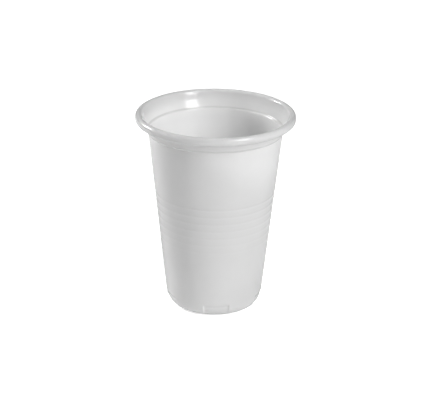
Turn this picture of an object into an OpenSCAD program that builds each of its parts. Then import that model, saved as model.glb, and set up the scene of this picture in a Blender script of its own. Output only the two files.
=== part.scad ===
// Thermoformed drinking cup: one thin wall, drawn as a single section and turned about Z.
// The section starts at the middle of the base, runs out over the foot and up the outside of
// the wall to the rolled rim. The drink side is the same line, set in by the wall thickness.
// Origin: centre of the foot on the surface that the cup stands on, +Z up.

/* [Cup] */
// Height from the foot to the top of the rim
height = 89; // [80:0.5:110]
// Thickness of the formed wall
wall = 0.35; // [0.3:0.05:0.6]

/* [Rim] */
// Outside diameter of the rolled rim
rim_d = 70; // [62:0.5:80]
// Width of the roll, measured over the material
roll_w = 3.2; // [2.4:0.1:3.8]
// Height of the roll, measured over the material
roll_h = 3.8; // [2.8:0.1:4.4]
// Place of the roll's free edge, in degrees round the roll below the outermost point
roll_end = 130; // [90:5:140]

/* [Lip and shoulder] */
// Height of the collar, from the lip's band to the top of the rim
collar_h = 4.1; // [3.9:0.05:5.5]
// Reach of the collar, outwards from the top of the lip's band to the sheet of the roll
collar_reach = 0.55; // [0.1:0.05:0.8]
// Height of the lip's band between the shoulder and the collar
band_h = 3.65; // [2.4:0.05:4.5]
// Outward lean of the band in degrees
band_lean = 20.5; // [15:0.5:28]
// Height of the stacking shoulder
shoulder_h = 0.5; // [0.4:0.05:1.2]
// Step of the shoulder, outwards from the wall
shoulder_step = 0.9; // [0.7:0.05:1.2]

/* [Wall] */
// Diameter of the wall's line where it would reach the foot's plane
base_d = 41.8; // [36:0.1:48]

/* [Grip grooves] */
// Number of ring grooves round the wall
groove_count = 7; // [1:1:9]
// Height of the top groove above the foot
groove_top = 53.4; // [45:0.1:64]
// Spacing of the grooves
groove_pitch = 3.45; // [2.8:0.05:4.5]
// Width of one groove
groove_w = 1.8; // [1.4:0.1:2.2]
// Depth of one groove
groove_depth = 0.12; // [0.05:0.01:0.2]

/* [Base] */
// Radius of the corner between the foot and the wall
corner_r = 5; // [3.5:0.1:7]
// Width of the flat ring that the cup stands on
foot_w = 1.1; // [0.6:0.1:2.5]
// Height of the pushed-up base panel
panel_rise = 2; // [1.2:0.1:3]
// Width of the slope from the foot ring up to the panel
panel_slope = 1.2; // [0.8:0.1:3]

/* [Stacking notches] */
// Number of notches round the base corner
notch_count = 5; // [3:1:6]
// Angle of the first notch, from +X in degrees
notch_turn = -87; // [-180:1:180]
// Height of a notch above the foot
notch_h = 6.3; // [5.2:0.1:8]
// Width of a notch at the outside of the wall
notch_w = 11.6; // [9:0.1:14]
// Depth of a notch at its top edge
notch_depth = 0.3; // [0.2:0.05:0.7]
// Place where a notch's face runs out, in degrees down the base corner
notch_end = 68; // [55:1:75]
// Draft of the notch's two sides in degrees
notch_draft = 20; // [5:1:30]

/* [Edges] */
// Radius on the tight side of the bends at the neck and at the foot ring
bend_r = 0.3; // [0.2:0.05:0.5]
// Radius on the tight side of the bend between the shoulder and the lip's band
lip_bend_r = 0.3; // [0.2:0.05:0.6]
// Radius on the tight side of the bend between the band and the collar
collar_r = 1.5; // [0.8:0.1:3]
// Radius on the tight side of the bends at the grooves
groove_r = 0.5; // [0.4:0.05:0.7]

/* [Hidden] */
$fn = 96;
// Most degrees between two points along a bend, and along the roll
bend_step = 7;
roll_step = 12;
// Most degrees between two points along a notch's face, and its run past the notch's end
notch_step = 12;
notch_past = 8;
// Room by which a cutter runs past what it cuts
past = 1;

base_r = base_d / 2;
rim_r = rim_d / 2;
band_top = height - collar_h;
shoulder_top = band_top - band_h;
shoulder_z = shoulder_top - shoulder_h;
roll_centre = [rim_r, height] - [roll_w, roll_h] / 2;
roll_axes = [roll_w, roll_h] / 2 - [wall, wall];
band_r = roll_centre[0] - roll_axes[0] - collar_reach;
lip_r = band_r - band_h * tan(band_lean);
neck_r = lip_r - shoulder_step;

wall_slope = (neck_r - base_r) / shoulder_z;
wall_angle = atan(1 / wall_slope);
corner_centre = [base_r - corner_r * tan(wall_angle / 2), corner_r];
panel_angle = atan(panel_rise / panel_slope);
foot_r = corner_centre[0] - foot_w - (bend_r + wall) * tan(panel_angle / 2);

// Outside radius of the plain wall at height z
function wall_r(z) = base_r + z * wall_slope;

// Unit direction from p to q, and the normal on its left
function heading(p, q) = (q - p) / norm(q - p);
function left_of(d) = [-d[1], d[0]];

// Point of the oval roll's sheet at some degrees round it
function roll_point(a) = roll_centre + [roll_axes[0] * cos(a), roll_axes[1] * sin(a)];

// Degrees round the roll at which a line from a point just touches its inner side
function roll_touch(p) =
    let (d = [for (i = [0 : 1]) (roll_centre[i] - p[i]) / roll_axes[i]])
    atan2(d[1], d[0]) + asin(1 / norm(d)) + 90;

// Corners of the section's outside line, each as [point, radius on the tight side of the bend]
base_corners = [
    [[0, panel_rise], 0],
    [[foot_r - panel_slope, panel_rise], bend_r],
    [[foot_r, 0], bend_r],
    [[base_r, 0], corner_r - wall]
];

groove_corners = [
    for (i = [groove_count - 1 : -1 : 0], side = [-1 : 1])
        let (z = groove_top - i * groove_pitch + side * groove_w / 2)
        [[wall_r(z) - (side == 0 ? groove_depth : 0), z], groove_r]
];

lip_corners = [
    [[neck_r, shoulder_z], bend_r],
    [[lip_r, shoulder_top], lip_bend_r],
    [[band_r, band_top], collar_r]
];

roll_start = roll_touch([band_r, band_top]);
roll_points = ceil((roll_start + roll_end) / roll_step);
roll_corners = [
    for (i = [0 : roll_points])
        [roll_point(roll_start - i * (roll_start + roll_end) / roll_points), 0]
];

section_corners = concat(base_corners, groove_corners, lip_corners, roll_corners);

// Arc of a given radius in a corner at q, where the line heading d turns by an angle
function bend(q, d, turn, radius) =
    let (
        start = q - d * radius * tan(abs(turn) / 2),
        centre = start + sign(turn) * radius * left_of(d),
        first = atan2(start[1] - centre[1], start[0] - centre[0]),
        steps = ceil(abs(turn) / bend_step)
    )
    [for (k = [0 : steps])
        let (a = first + turn * k / steps)
        centre + radius * [cos(a), sin(a)]];

// Points of one corner after the line is set in to its left by some depth: an arc where the
// corner has a radius, or else the bare point. The tight side of a left turn is the drink side.
function set_in_corner(path, i, depth) =
    let (
        last = len(path) - 1,
        p = path[i][0],
        radius = path[i][1],
        d_in = i == 0 ? heading(p, path[1][0]) : heading(path[i - 1][0], p),
        d_out = i == last ? d_in : heading(p, path[i + 1][0]),
        n_in = left_of(d_in),
        n_out = left_of(d_out),
        turn = asin(d_in[0] * d_out[1] - d_in[1] * d_out[0]),
        q = p + depth * (n_in + n_out) / (1 + n_in * n_out)
    )
    radius == 0 || i == last
        ? [q]
        : bend(q, d_in, turn, radius + (turn > 0 ? wall - depth : depth));

function set_in(path, depth) = [
    for (i = [0 : len(path) - 1])
        each set_in_corner(path, i, depth)
];

function reversed(list) = [for (i = [len(list) - 1 : -1 : 0]) list[i]];

// Closed section of the wall, from its outside line to the drink side
function wall_section() =
    concat(set_in(section_corners, 0), reversed(set_in(section_corners, wall)));

// Section of all that lies inside the middle of the wall, up to the lowest groove
function core_section() =
    let (
        outline = set_in(concat(base_corners, [groove_corners[0]]), wall / 2),
        top = outline[len(outline) - 1]
    )
    concat(outline, [[0, top[1]]]);

// Depth of a notch's face behind the base corner, at some degrees down the corner
function notch_inset(down) = notch_depth * (1 - pow(down / notch_end, 2));

// Half section of the notches' cutter, made larger all round by some amount. Its face follows
// the wall and the base corner, and runs out of the corner at the notch's end.
function notch_section(grow) =
    let (
        first = 90 - wall_angle,
        last = notch_end + notch_past,
        steps = ceil((last - first) / notch_step),
        top = notch_h + grow,
        upper_r = wall_r(top) - (notch_inset(first) + grow) / sin(wall_angle),
        face = [
            for (k = [0 : steps])
                let (down = first + k * (last - first) / steps)
                corner_centre + (corner_r - notch_inset(down) - grow) * [cos(down), -sin(down)]
        ],
        outer = base_d
    )
    concat([[outer, face[steps][1]], [outer, top], [upper_r, top]], face);

// Plan of one notch's cutter along +X, with drafted sides, made larger by some amount
function notch_plan(grow) =
    let (
        near = base_r - corner_r,
        far = base_d,
        edge = wall_r(notch_h),
        half = notch_w / 2 + grow / cos(notch_draft),
        half_near = half - (edge - near) * tan(notch_draft),
        half_far = half + (far - edge) * tan(notch_draft)
    )
    [[near, -half_near], [far, -half_far], [far, half_far], [near, half_near]];

module notches(grow) {
    intersection() {
        rotate_extrude()
            polygon(notch_section(grow));
        translate([0, 0, -past])
            linear_extrude(height)
                for (i = [0 : notch_count - 1])
                    rotate(notch_turn + i * 360 / notch_count)
                        polygon(notch_plan(grow));
    }
}

// Formed wall with the notches cut out of it
module turned_wall() {
    difference() {
        rotate_extrude()
            polygon(wall_section());
        notches(0);
    }
}

// Wall of the notches themselves, one wall thickness deep behind each cut
module notch_walls() {
    intersection() {
        rotate_extrude()
            polygon(core_section());
        difference() {
            notches(wall);
            notches(0);
        }
    }
}

module cup() {
    color("whitesmoke")
        union() {
            turned_wall();
            notch_walls();
        }
}

cup();
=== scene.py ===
import math

import bpy
from mathutils import Matrix, Vector


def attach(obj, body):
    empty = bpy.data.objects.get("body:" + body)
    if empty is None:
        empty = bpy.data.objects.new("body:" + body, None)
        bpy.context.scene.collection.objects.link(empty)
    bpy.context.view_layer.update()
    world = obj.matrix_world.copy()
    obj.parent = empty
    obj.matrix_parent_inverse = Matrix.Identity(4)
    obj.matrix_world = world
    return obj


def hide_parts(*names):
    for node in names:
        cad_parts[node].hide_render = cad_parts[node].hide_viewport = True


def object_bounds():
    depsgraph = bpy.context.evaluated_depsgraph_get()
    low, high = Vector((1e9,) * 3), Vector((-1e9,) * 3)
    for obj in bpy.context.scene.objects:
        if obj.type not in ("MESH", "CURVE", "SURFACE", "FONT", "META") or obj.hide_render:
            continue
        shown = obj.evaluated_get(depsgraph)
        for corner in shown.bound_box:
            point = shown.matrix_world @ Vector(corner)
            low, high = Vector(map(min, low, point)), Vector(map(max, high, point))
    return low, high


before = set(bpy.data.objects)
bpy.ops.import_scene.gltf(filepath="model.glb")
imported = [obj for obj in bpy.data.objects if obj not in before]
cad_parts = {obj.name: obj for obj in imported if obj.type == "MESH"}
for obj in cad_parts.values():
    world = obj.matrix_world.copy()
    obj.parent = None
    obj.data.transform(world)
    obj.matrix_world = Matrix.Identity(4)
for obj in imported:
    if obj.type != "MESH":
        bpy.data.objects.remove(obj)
cadLow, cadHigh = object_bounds()

mm = 0.001
print("frame loaded: cup of", [round(v / mm, 2) for v in cadHigh - cadLow], "mm")


def linearColour(hexText):
    # sRGB hex to the linear values that shaders take
    parts = [int(hexText[i:i + 2], 16) / 255 for i in (1, 3, 5)]
    linear = [c / 12.92 if c <= 0.04045 else ((c + 0.055) / 1.055) ** 2.4 for c in parts]
    return (*linear, 1.0)


def addNode(tree, kind, settings=None, links=None):
    # one node: its settings by property or socket name, then what feeds its sockets
    node = tree.nodes.new(kind)
    for name, value in (settings or {}).items():
        if isinstance(name, str) and hasattr(node, name):
            setattr(node, name, value)
        else:
            node.inputs[name].default_value = value
    for name, socket in (links or {}).items():
        tree.links.new(socket, node.inputs[name])
    return node


def emptyTree(owner):
    owner.use_nodes = True
    owner.node_tree.nodes.clear()
    return owner.node_tree


# Cup: the formed section in millimetres, turned about Z. Height and rim come from the frame.
cupSizes = {
    "wall": 0.35,
    "rollSize": (3.2, 3.8),  # width and height over the sheet
    "rollEnd": 130,          # degrees below the outermost point
    "collarHeight": 4.1,     # from the lip's band to the top of the rim
    "collarReach": 0.75,     # from the lip's band out to the sheet of the roll
    "bandHeight": 3.65,
    "bandLean": 20.5,        # degrees
    "shoulderHeight": 0.5,
    "shoulderStep": 0.7,
    "baseDiameter": 41.8,    # of the wall's line where it would reach the foot's plane
    "grooveCount": 7,
    "grooveTop": 53.4,
    "groovePitch": 3.45,
    "grooveWidth": 1.8,
    "grooveDepth": (0.125, 0.035),  # of the top and of the bottom groove
    "cornerRadius": 5.0,     # outside, between the foot and the wall
    "footWidth": 1.1,
    "panelRise": 2.0,
    "panelSlope": 1.2,
    "bendRadius": 0.3,       # on the tight side, like the next four
    "neckBendRadius": 0.7,
    "lipBendRadius": 1.2,
    "collarRadius": 1.5,
    "grooveRadius": 0.5,
    "longestStep": 2.5,      # straight stretches are cut to rows no longer than this
    "bendDegrees": 7,
    "rollDegrees": 10,
    "columnDegrees": 3,
    "columnGap": 0.25,       # degrees: of two columns closer than this, one is kept
}

# Stacking notches in the base corner
notchSizes = {
    "count": 5,
    "firstAngle": -87,       # degrees from +X
    "height": 6.3,
    "width": 11.6,
    "depth": 0.4,
    "end": 68,               # degrees down the base corner, where the notch runs out
    "sideDegrees": 1.9,      # the drafted side, as a turn about the axis
    "sideRoom": 1.0,         # degrees past the side that also get more columns, for the inside
    "sideColumns": 6,
    "topRun": 1.0,           # height over which its top edge comes back out to the wall
    "topBend": 0.5,
    "arcSteps": 24,
    "rows": 44,
    "reach": 2.5,            # how far above the notch its rows run
}


def headingOf(p, q):
    return (q - p).normalized()


def leftOf(d):
    return Vector((-d.y, d.x))


def bendArc(before, corner, after, radius):
    # rounds one corner of the outside line; the radius is that of the bend's tight side
    d0, d1 = headingOf(before, corner), headingOf(corner, after)
    turn = math.atan2(d0.x * d1.y - d0.y * d1.x, d0.dot(d1))
    side = math.copysign(1, turn)
    if turn > 0:
        radius += cupSizes["wall"]
    start = corner - d0 * radius * math.tan(abs(turn) / 2)
    centre = start + leftOf(d0) * side * radius
    first = math.atan2(start.y - centre.y, start.x - centre.x)
    steps = max(2, math.ceil(math.degrees(abs(turn)) / cupSizes["bendDegrees"]))
    angles = [first + turn * k / steps for k in range(steps + 1)]
    return [centre + radius * Vector((math.cos(a), math.sin(a))) for a in angles]


def roundedLine(corners):
    # corners are (point, bend radius); the ends and corners of no radius stay as they are
    points = []
    for i, (corner, radius) in enumerate(corners):
        if radius and 0 < i < len(corners) - 1:
            points += bendArc(corners[i - 1][0], corner, corners[i + 1][0], radius)
        else:
            points.append(corner)
    return points


def cutLong(points, longest):
    # adds rows along straight stretches, so that shading stays even next to a bend
    cut = [points[0]]
    for p, q in zip(points, points[1:]):
        pieces = max(1, math.ceil((q - p).length / longest))
        cut += [p.lerp(q, k / pieces) for k in range(1, pieces + 1)]
    return cut


def evenLine(points, count):
    # the same line with a set number of points, evenly along it
    lengths = [0.0]
    for p, q in zip(points, points[1:]):
        lengths.append(lengths[-1] + (q - p).length)
    even, i = [], 0
    for k in range(count):
        at = lengths[-1] * k / (count - 1)
        while i < len(points) - 2 and lengths[i + 1] < at:
            i += 1
        step = max(lengths[i + 1] - lengths[i], 1e-9)  # two points may fall together
        even.append(points[i].lerp(points[i + 1], min(1.0, (at - lengths[i]) / step)))
    return even


def setIn(points, depth):
    # the line moved to its left by the wall, corner by corner
    headings = [headingOf(p, q) for p, q in zip(points, points[1:])]
    moved = []
    for i, p in enumerate(points):
        n0 = leftOf(headings[max(i - 1, 0)])
        n1 = leftOf(headings[min(i, len(headings) - 1)])
        moved.append(p + depth * (n0 + n1) / (1 + n0.dot(n1)))
    return moved


def smoothShare(x):
    x = min(1.0, max(0.0, x))
    return x * x * (3 - 2 * x)


def cupLines():
    # outside lines of the section, (radius, height) in mm: a plain one and one through a notch
    s, n = cupSizes, notchSizes
    height, rimRadius = cadHigh.z / mm, (cadHigh.x - cadLow.x) / 2 / mm
    baseRadius = s["baseDiameter"] / 2
    bandTop = height - s["collarHeight"]
    shoulderTop = bandTop - s["bandHeight"]
    shoulderFoot = shoulderTop - s["shoulderHeight"]
    rollHalf = Vector(s["rollSize"]) / 2
    rollCentre = Vector((rimRadius, height)) - rollHalf
    rollAxes = rollHalf - Vector((s["wall"], s["wall"]))
    bandRadius = rollCentre.x - rollAxes.x - s["collarReach"]
    lipRadius = bandRadius - s["bandHeight"] * math.tan(math.radians(s["bandLean"]))
    neckRadius = lipRadius - s["shoulderStep"]
    slope = (neckRadius - baseRadius) / shoulderFoot

    def wallAt(z, inset=0.0):
        return Vector((baseRadius + z * slope - inset, z))

    cornerRadius = s["cornerRadius"]
    cornerReach = cornerRadius * math.tan(math.atan(1 / slope) / 2)
    cornerCentre = Vector((baseRadius - cornerReach, cornerRadius))
    panelTurn = math.atan2(s["panelRise"], s["panelSlope"])
    footBend = (s["bendRadius"] + s["wall"]) * math.tan(panelTurn / 2)
    footRadius = cornerCentre.x - s["footWidth"] - footBend
    footEdge = Vector((cornerCentre.x, 0))
    panel = roundedLine([
        (Vector((0, s["panelRise"])), 0),
        (Vector((footRadius - s["panelSlope"], s["panelRise"])), s["bendRadius"]),
        (Vector((footRadius, 0)), s["bendRadius"]),
        (footEdge, 0),
    ])

    joint = wallAt(n["height"] + n["reach"])
    plainCorner = roundedLine([
        (footEdge, 0),
        (wallAt(0), cornerRadius - s["wall"]),
        (joint, 0),
    ])
    # a notch is the same corner set in, running out towards the foot
    movedIn = []
    for k in range(n["arcSteps"] + 1):
        down = 90 * (1 - k / n["arcSteps"])
        inset = n["depth"] * max(0.0, 1 - (down / n["end"]) ** 2)
        turn = math.radians(down)
        outward = Vector((math.cos(turn), -math.sin(turn)))
        movedIn.append(cornerCentre + (cornerRadius - inset) * outward)
    notchCorner = roundedLine(
        [(p, 0) for p in movedIn]
        + [(wallAt(n["height"] - n["topRun"], n["depth"]), n["topBend"]),
           (wallAt(n["height"]), n["topBend"]),
           (joint, 0)])

    grooves = []
    for i in reversed(range(s["grooveCount"])):
        z = s["grooveTop"] - i * s["groovePitch"]
        half = s["grooveWidth"] / 2
        share = i / (s["grooveCount"] - 1)
        depth = s["grooveDepth"][0] * (1 - share) + s["grooveDepth"][1] * share
        grooves += [(wallAt(z - half), s["grooveRadius"]),
                    (wallAt(z, depth), s["grooveRadius"]),
                    (wallAt(z + half), s["grooveRadius"])]

    # the collar runs straight up until it touches the oval roll
    bandEnd = Vector((bandRadius, bandTop))
    toRoll = Vector([c / axis for c, axis in zip(rollCentre - bandEnd, rollAxes)])
    rollStart = math.atan2(toRoll.y, toRoll.x) + math.asin(1 / toRoll.length) + math.pi / 2
    rollTurn = rollStart + math.radians(s["rollEnd"])
    rollSteps = math.ceil(math.degrees(rollTurn) / s["rollDegrees"])
    roll = [rollCentre + Vector((rollAxes.x * math.cos(a), rollAxes.y * math.sin(a)))
            for a in [rollStart - rollTurn * k / rollSteps for k in range(rollSteps + 1)]]
    upper = roundedLine(
        [(joint, 0)] + grooves
        + [(Vector((neckRadius, shoulderFoot)), s["neckBendRadius"]),
           (Vector((lipRadius, shoulderTop)), s["lipBendRadius"]),
           (bandEnd, s["collarRadius"])]
        + [(p, 0) for p in roll])

    panel = cutLong(panel, s["longestStep"])
    upper = cutLong(upper, s["longestStep"])
    return [panel + evenLine(corner, n["rows"])[1:] + upper[1:]
            for corner in (plainCorner, notchCorner)]


def notchHalf():
    # degrees from a notch's middle to the outer end of its side
    return math.degrees(math.asin(notchSizes["width"] / cupSizes["baseDiameter"]))


def notchShare(angle, grow):
    # 1 inside a notch, 0 away from it, with a drafted and rounded side between
    n = notchSizes
    pitch = 360 / n["count"]
    away = abs((angle - n["firstAngle"] + pitch / 2) % pitch - pitch / 2)
    return smoothShare((notchHalf() + grow - away) / n["sideDegrees"])


def columnAngles():
    # even columns, with more of them across each side of a notch
    s, n = cupSizes, notchSizes
    evenCount = round(360 / s["columnDegrees"])
    angles = {round(a * s["columnDegrees"], 3) for a in range(evenCount)}
    for i in range(n["count"]):
        middle = n["firstAngle"] + 360 * i / n["count"]
        for side in (-1, 1):
            for k in range(n["sideColumns"] + 1):
                inward = (n["sideDegrees"] + n["sideRoom"]) * k / n["sideColumns"]
                offset = notchHalf() + n["sideRoom"] - inward
                angles.add(round((middle + side * offset) % 360, 3))
    kept = []
    for a in sorted(angles):
        if not kept or a - kept[-1] > s["columnGap"]:
            kept.append(a)
    return kept


def turnedCup():
    wall = cupSizes["wall"]
    plain, notched = cupLines()
    plainInside, notchedInside = setIn(plain, wall), setIn(notched, wall)
    growInside = math.degrees(wall / (cupSizes["baseDiameter"] / 2))

    # each column runs out over the base, up the outside, round the rim and back down the inside
    verts = [Vector((0, 0, plain[0].y)) * mm]
    columns = []
    for angle in columnAngles():
        outShare, inShare = notchShare(angle, 0), notchShare(angle, growInside)
        outside = [p.lerp(q, outShare) for p, q in zip(plain, notched)][1:]
        inside = [p.lerp(q, inShare) for p, q in zip(plainInside, notchedInside)][:0:-1]
        turn = math.radians(angle)
        columns.append(len(verts))
        verts += [Vector((p.x * math.cos(turn), p.x * math.sin(turn), p.y)) * mm
                  for p in outside + inside]
    top = len(verts)
    verts.append(Vector((0, 0, plainInside[0].y)) * mm)

    perColumn = 2 * (len(plain) - 1)
    faces = []
    for i, a in enumerate(columns):
        b = columns[(i + 1) % len(columns)]
        faces.append((b, a, 0))
        faces += [(a + k, b + k, b + k + 1, a + k + 1) for k in range(perColumn - 1)]
        faces.append((a + perColumn - 1, b + perColumn - 1, top))

    mesh = bpy.data.meshes.new("formedCup")
    mesh.from_pydata(verts, [], faces)
    mesh.validate()
    mesh.shade_smooth()
    cup = bpy.data.objects.new("formedCup", mesh)
    bpy.context.scene.collection.objects.link(cup)
    print("cup turned:", len(verts), "points,", len(faces), "faces")
    return cup


polypropyleneLook = {
    "thick": "#fbfbfa",      # rim and base, where the sheet stayed thick
    "thin": "#f4f4f4",       # mid-wall, drawn thinner and milkier
    # share of the cup's height, then how thick the sheet is there, from thin 0 to thick 1
    "sheet": ((0.0, 1.0), (0.25, 0.8), (0.55, 0.0), (0.87, 0.0), (0.93, 1.0)),
    "scatterMm": (0.7, 0.6),  # how far light spreads in the thin and in the thick sheet
    "creaseShadeMm": (81.5, 0.7),  # height and half width of a ring of painted shade at the lip's bend
    # how dark the painted shade in the crease's ring gets
    "creaseShadeTone": 0.82,
    "ior": 1.49,
    "gloss": (0.1, 0.17),    # roughness of polished and dull patches
    "patches": (0.3, 0.7),   # the noise values between which most of the patches lie
    "mottleMm": 9.0,         # cloudy patches left by the stretch
    "mottleTone": (0.965, 1.0),
    "drawMm": (1.6, 26.0),   # faint draw lines: width round the cup, length up the wall
    "drawBump": (0.05, 0.2),  # strength, and depth in mm
    "skinMm": 0.9,           # ripple of the cooled skin, drawn coarser than it is, to show
    "skinBump": (0.03, 0.1),
}


def thermoformedPolypropylene():
    # White polypropylene sheet, drawn hot into a polished mould: milky, softly glossy, light
    # passes through it, and stretching leaves faint clouds and upright draw lines.
    look = polypropyleneLook
    material = bpy.data.materials.new("thermoformedPolypropylene")
    tree = emptyTree(material)
    place = addNode(tree, "ShaderNodeTexCoord")
    mottle = addNode(tree, "ShaderNodeTexNoise",
                     {"Scale": 1 / (look["mottleMm"] * mm), "Detail": 3.0, "Roughness": 0.5},
                     {"Vector": place.outputs["Object"]})
    drawWidth, drawLength = [size * mm for size in look["drawMm"]]
    drawSpace = addNode(tree, "ShaderNodeVectorMath",
                        {"operation": "MULTIPLY", 1: (1 / drawWidth, 1 / drawWidth, 1 / drawLength)},
                        {0: place.outputs["Object"]})
    draw = addNode(tree, "ShaderNodeTexNoise", {"Scale": 1.0, "Detail": 2.0},
                   {"Vector": drawSpace.outputs["Vector"]})
    skin = addNode(tree, "ShaderNodeTexNoise", {"Scale": 1 / (look["skinMm"] * mm), "Detail": 2.0},
                   {"Vector": place.outputs["Object"]})

    # thickness of the sheet by height, which sets its white and how far light spreads in it
    height = addNode(tree, "ShaderNodeSeparateXYZ", links={0: place.outputs["Object"]})
    heightShare = addNode(tree, "ShaderNodeMapRange",
                          {"From Min": 0.0, "From Max": cadHigh.z, "To Min": 0.0, "To Max": 1.0},
                          {"Value": height.outputs["Z"]})
    thickness = addNode(tree, "ShaderNodeValToRGB", links={"Fac": heightShare.outputs["Result"]})
    stops = thickness.color_ramp.elements
    for position, share in look["sheet"][1:-1]:
        stops.new(position).color = (share, share, share, 1)
    for end in (0, -1):
        position, share = look["sheet"][end]
        stops[end].position = position
        stops[end].color = (share, share, share, 1)
    white = addNode(tree, "ShaderNodeMix",  # 6, 7 and output 2 are its colours
                    {"data_type": "RGBA",
                     6: linearColour(look["thin"]), 7: linearColour(look["thick"])},
                    {0: thickness.outputs["Color"]})
    spread = addNode(tree, "ShaderNodeMapRange",
                     {"To Min": look["scatterMm"][0] * mm, "To Max": look["scatterMm"][1] * mm},
                     {"Value": thickness.outputs["Color"]})

    clouds = addNode(tree, "ShaderNodeMapRange",
                     {"To Min": look["mottleTone"][0], "To Max": look["mottleTone"][1]},
                     {"Value": mottle.outputs["Fac"]})
    # painted shade: the colour darkens in a ring at the lip's bend, where the crease lies in shade
    creaseHeight, creaseHalf = [size * mm for size in look["creaseShadeMm"]]
    aboveCrease = addNode(tree, "ShaderNodeMath", {"operation": "SUBTRACT", 1: creaseHeight},
                          {0: height.outputs["Z"]})
    fromCrease = addNode(tree, "ShaderNodeMath", {"operation": "ABSOLUTE"},
                         {0: aboveCrease.outputs["Value"]})
    paintedCreaseShade = addNode(tree, "ShaderNodeMapRange",
                     {"interpolation_type": "SMOOTHSTEP", "From Min": 0.0, "From Max": creaseHalf,
                      "To Min": look["creaseShadeTone"], "To Max": 1.0},
                     {"Value": fromCrease.outputs["Value"]})
    tone = addNode(tree, "ShaderNodeMath", {"operation": "MULTIPLY"},
                   {0: clouds.outputs["Result"], 1: paintedCreaseShade.outputs["Result"]})
    colour = addNode(tree, "ShaderNodeVectorMath", {"operation": "SCALE"},
                     {0: white.outputs[2], "Scale": tone.outputs["Value"]})

    gloss = addNode(tree, "ShaderNodeMapRange",
                    {"From Min": look["patches"][0], "From Max": look["patches"][1],
                     "To Min": look["gloss"][0], "To Max": look["gloss"][1]},
                    {"Value": mottle.outputs["Fac"]})
    drawBump = addNode(tree, "ShaderNodeBump",
                       {"Strength": look["drawBump"][0], "Distance": look["drawBump"][1] * mm},
                       {"Height": draw.outputs["Fac"]})
    skinBump = addNode(tree, "ShaderNodeBump",
                       {"Strength": look["skinBump"][0], "Distance": look["skinBump"][1] * mm},
                       {"Height": skin.outputs["Fac"], "Normal": drawBump.outputs["Normal"]})
    plastic = addNode(tree, "ShaderNodeBsdfPrincipled",
                      {"IOR": look["ior"], "Subsurface Weight": 1.0,
                       "Subsurface Radius": (1.0, 1.0, 1.0)},
                      {"Base Color": colour.outputs["Vector"],
                       "Roughness": gloss.outputs["Result"],
                       "Subsurface Scale": spread.outputs["Result"],
                       "Normal": skinBump.outputs["Normal"]})
    addNode(tree, "ShaderNodeOutputMaterial", links={"Surface": plastic.outputs["BSDF"]})
    return material


cup = turnedCup()
cup.data.materials.append(thermoformedPolypropylene())
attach(cup, "root")
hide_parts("cup")
print("cup dressed")

# The white round the cup: of the floor and of the room
whiteLook = {
    "colour": "#ffffff",
    "mirrored": 0.15,        # how much of the white shows in the cup's gloss
}


def whiteShare(tree):
    # 1 for what is seen or seen through, less for what is mirrored, 0 for the light on things
    rays = addNode(tree, "ShaderNodeLightPath")
    mirrored = addNode(tree, "ShaderNodeMath", {"operation": "MULTIPLY", 1: whiteLook["mirrored"]},
                       {0: rays.outputs["Is Glossy Ray"]})
    seen = addNode(tree, "ShaderNodeMath", {"operation": "MAXIMUM"},
                   {0: rays.outputs["Is Camera Ray"], 1: mirrored.outputs["Value"]})
    return addNode(tree, "ShaderNodeMath", {"operation": "MAXIMUM"},
                   {0: seen.outputs["Value"], 1: rays.outputs["Is Transmission Ray"]})


floorLook = {
    "radius": 4.0,           # metres
    "sides": 64,
    "paper": "#f7f7f7",
    "fibreMm": 1.11,         # fibres are far finer, and are drawn this coarse to show
    "fibreBump": (0.02, 0.1),  # strength, and depth in mm
    "lift": (0.7, 1.0),      # brings the paper up to white in the picture, near and far off
    "fade": (0.3, 1.5),      # metres from the cup, between the two
}


def matteStudioPaper():
    # Seamless white background paper: quite matt, so that only the cup's soft shadow shows
    look = floorLook
    material = bpy.data.materials.new("matteStudioPaper")
    tree = emptyTree(material)
    place = addNode(tree, "ShaderNodeTexCoord")
    fibre = addNode(tree, "ShaderNodeTexNoise",
                    {"Scale": 1 / (look["fibreMm"] * mm), "Detail": 2.0},
                    {"Vector": place.outputs["Object"]})
    bump = addNode(tree, "ShaderNodeBump",
                   {"Strength": look["fibreBump"][0], "Distance": look["fibreBump"][1] * mm},
                   {"Height": fibre.outputs["Fac"]})
    paper = addNode(tree, "ShaderNodeBsdfDiffuse", {"Color": linearColour(look["paper"])},
                    {"Normal": bump.outputs["Normal"]})
    away = addNode(tree, "ShaderNodeVectorMath", {"operation": "LENGTH"},
                   {0: place.outputs["Object"]})
    lift = addNode(tree, "ShaderNodeMapRange",
                   {"From Min": look["fade"][0], "From Max": look["fade"][1],
                    "To Min": look["lift"][0], "To Max": look["lift"][1]},
                   {"Value": away.outputs["Value"]})
    level = addNode(tree, "ShaderNodeMath", {"operation": "MULTIPLY"},
                    {0: lift.outputs["Result"], 1: whiteShare(tree).outputs["Value"]})
    glow = addNode(tree, "ShaderNodeEmission", {"Color": linearColour(whiteLook["colour"])},
                   {"Strength": level.outputs["Value"]})
    both = addNode(tree, "ShaderNodeAddShader",
                   links={0: paper.outputs["BSDF"], 1: glow.outputs["Emission"]})
    addNode(tree, "ShaderNodeOutputMaterial", links={"Surface": both.outputs["Shader"]})
    return material


def studioFloor():
    reach, sides = floorLook["radius"], floorLook["sides"]
    turns = [2 * math.pi * k / sides for k in range(sides)]
    ring = [(reach * math.cos(a), reach * math.sin(a), cadLow.z) for a in turns]
    mesh = bpy.data.meshes.new("studioFloor")
    mesh.from_pydata(ring, [], [tuple(range(sides))])
    floor = bpy.data.objects.new("studioFloor", mesh)
    floor.data.materials.append(matteStudioPaper())
    bpy.context.scene.collection.objects.link(floor)


def whiteRoom():
    # white where it is seen, and no light of its own: that comes from the softboxes
    world = bpy.data.worlds.new("whiteRoom")
    bpy.context.scene.world = world
    tree = emptyTree(world)
    sky = addNode(tree, "ShaderNodeBackground", {"Color": linearColour(whiteLook["colour"])},
                  {"Strength": whiteShare(tree).outputs["Value"]})
    addNode(tree, "ShaderNodeOutputWorld", links={"Surface": sky.outputs["Background"]})


studioFloor()
whiteRoom()
print("floor laid in a white room")

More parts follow.
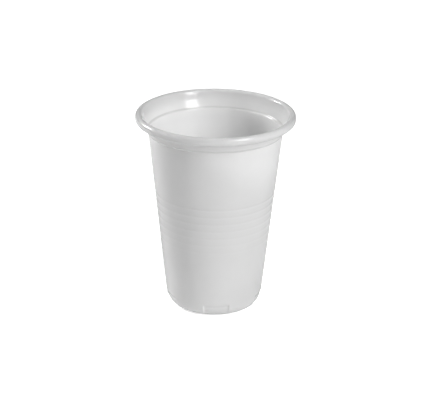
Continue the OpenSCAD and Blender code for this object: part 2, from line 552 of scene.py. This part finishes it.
# Softboxes, placed round the cup: degrees, with azimuth from the camera's side towards the right,
# then metres and watts
lamps = {
    "keySoftbox": {"azimuth": 42, "elevation": 35, "distance": 1.0,
                   "size": (0.36, 0.58), "power": 6.1},
    "sideSoftbox": {"azimuth": -117, "elevation": 26, "distance": 0.8,
                    "size": (0.24, 0.16), "power": 3.9},
    "topSoftbox": {"azimuth": 0, "elevation": 60, "distance": 1.2,
                   "size": (1.0, 1.0), "power": 2.3},
}


def aimed(location, target):
    return (target - location).to_track_quat("-Z", "Y")


def softbox(name, lamp):
    a, e = math.radians(lamp["azimuth"]), math.radians(lamp["elevation"])
    outward = Vector((math.sin(a) * math.cos(e), -math.cos(a) * math.cos(e), math.sin(e)))
    target = Vector((0, 0, (cadLow.z + cadHigh.z) / 2))
    light = bpy.data.lights.new(name, "AREA")
    light.shape = "RECTANGLE"
    light.size, light.size_y = lamp["size"]
    light.energy = lamp["power"]
    box = bpy.data.objects.new(name, light)
    box.location = target + lamp["distance"] * outward
    box.rotation_mode = "QUATERNION"
    box.rotation_quaternion = aimed(box.location, target)
    bpy.context.scene.collection.objects.link(box)


for lampName, lamp in lamps.items():
    softbox(lampName, lamp)
print("room lit by", len(lamps), "softboxes")

cameraSetup = {
    "distance": 650,         # mm, from a point on the axis at turnHeight
    "turnHeight": 42,
    "elevation": 22.6,       # degrees
    "aim": (0.1, 0, 47.2),   # mm, the point in the middle of the picture
    "roll": 0.6,             # degrees
    "focalPixels": 1459,
    "pictureWidth": 430,     # pixels
    "sensor": 36,            # mm
}


def photoCamera():
    c = cameraSetup
    e = math.radians(c["elevation"])
    outward = Vector((0, -math.cos(e), math.sin(e)))
    data = bpy.data.cameras.new("photoCamera")
    data.sensor_width = c["sensor"]
    data.lens = c["focalPixels"] / c["pictureWidth"] * c["sensor"]
    camera = bpy.data.objects.new("photoCamera", data)
    camera.location = (Vector((0, 0, c["turnHeight"])) + c["distance"] * outward) * mm
    camera.rotation_mode = "QUATERNION"
    roll = Matrix.Rotation(math.radians(c["roll"]), 3, "Z").to_quaternion()
    camera.rotation_quaternion = aimed(camera.location, Vector(c["aim"]) * mm) @ roll
    bpy.context.scene.collection.objects.link(camera)
    bpy.context.scene.camera = camera


photoCamera()
bpy.context.scene.view_settings.view_transform = "Standard"
print("camera set")
